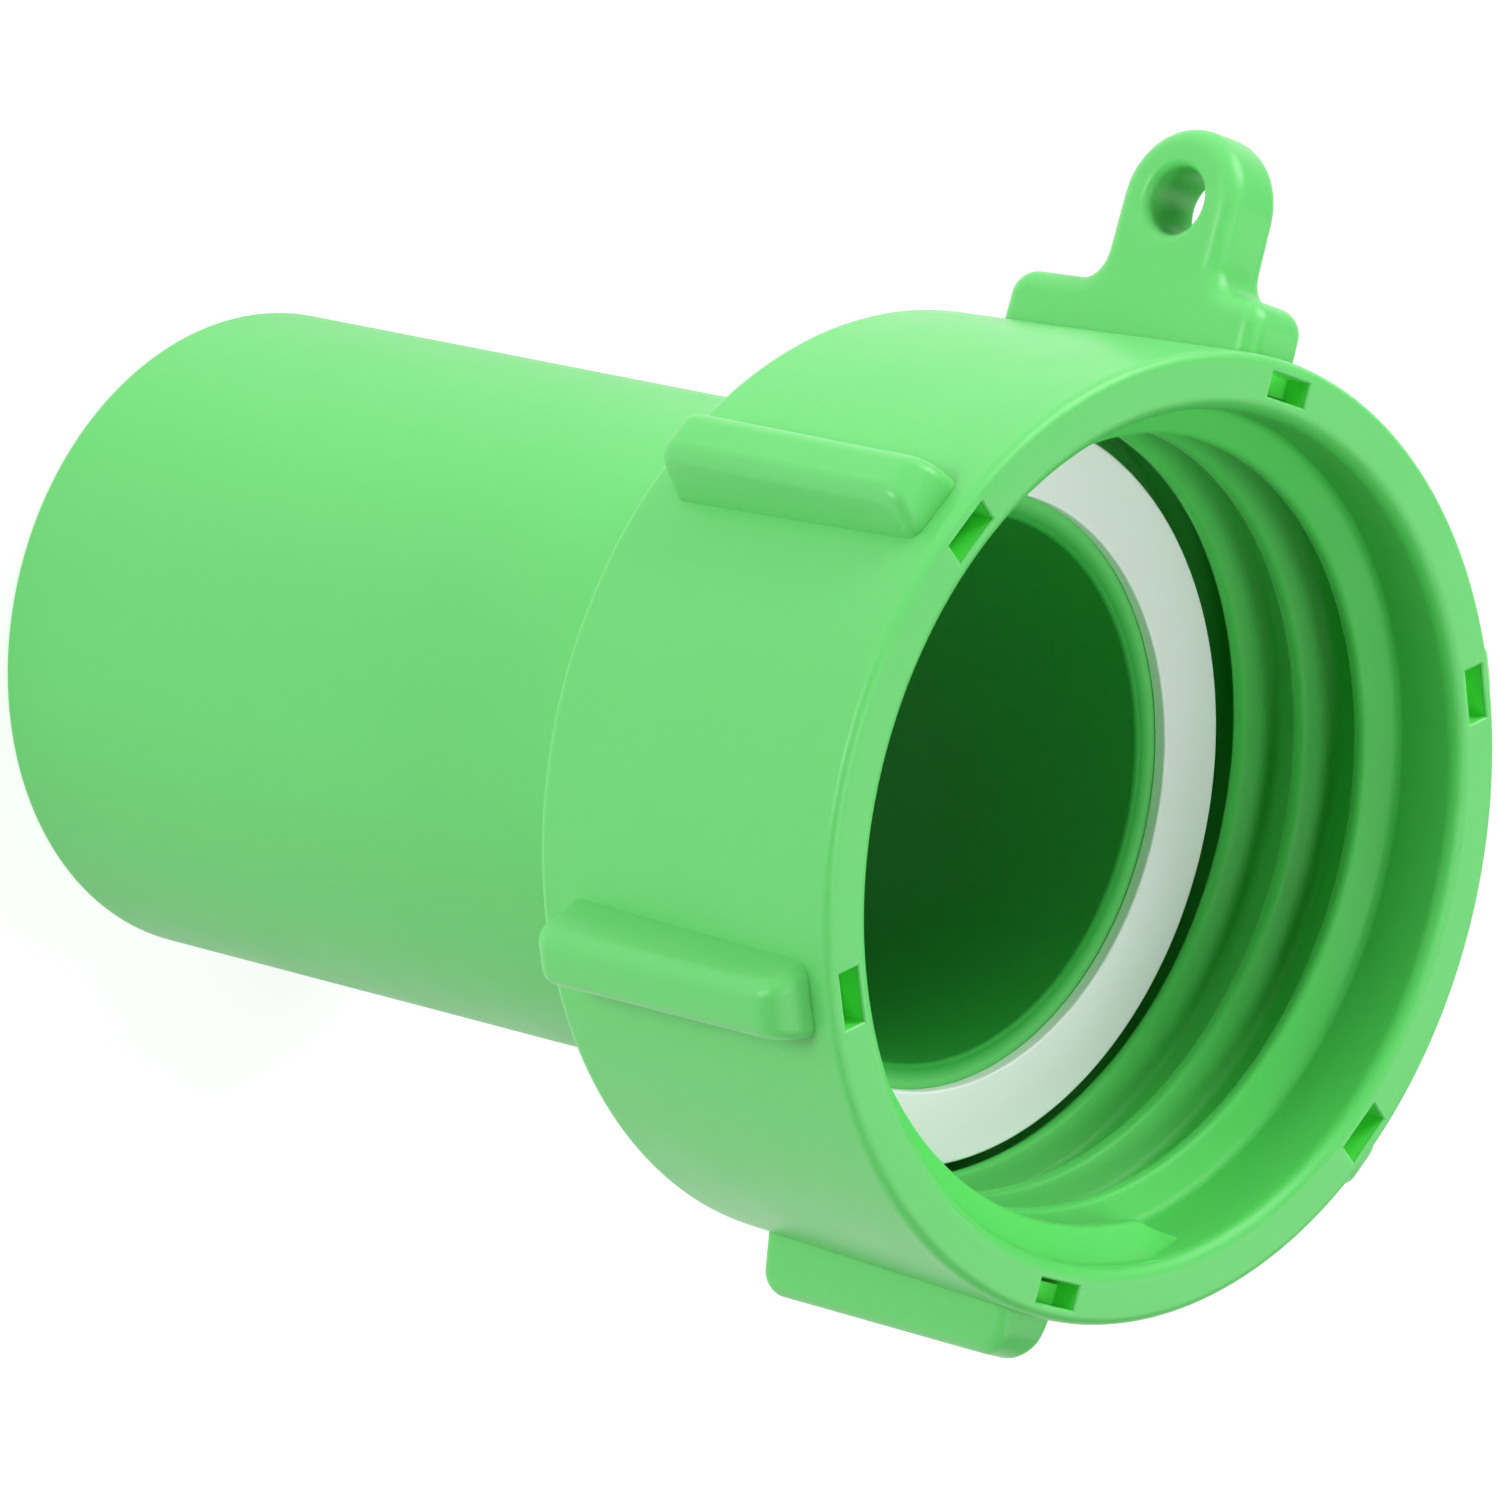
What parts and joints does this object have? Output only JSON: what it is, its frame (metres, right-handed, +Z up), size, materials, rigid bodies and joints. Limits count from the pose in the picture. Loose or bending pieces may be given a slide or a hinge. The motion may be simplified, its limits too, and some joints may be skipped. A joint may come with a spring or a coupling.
{
  "type": "ibc tap adapter",
  "caption": "Swivel adapter: a ribbed union nut with a coarse internal thread and a hanging lug turns on a flanged plain pipe end, with a flat sealing ring.",
  "frame": {"origin": "on the common axis, in the plane of the pipe's free end", "axes": "+Z up the axis from the pipe's free end and out of the nut's mouth, +X from the axis towards the nut's hanging lug"},
  "size_m": [0.0894, 0.0706, 0.098],
  "materials": {
    "pipe_plastic": "smooth moulded polypropylene",
    "seal_rubber": "smooth white sealing ring",
    "nut_plastic": "smooth moulded polypropylene"
  },
  "bodies": {
    "tail_pipe": {"tail_pipe": "pipe_plastic", "gasket": "seal_rubber"},
    "union_nut": {"union_nut": "nut_plastic"}
  },
  "joints": [
    {"name": "nut_spin", "type": "hinge", "parent": "tail_pipe", "child": "union_nut", "pos_m": [0, 0, 0.0831], "axis": [0, 0, 1], "continuous": true}
  ]
}
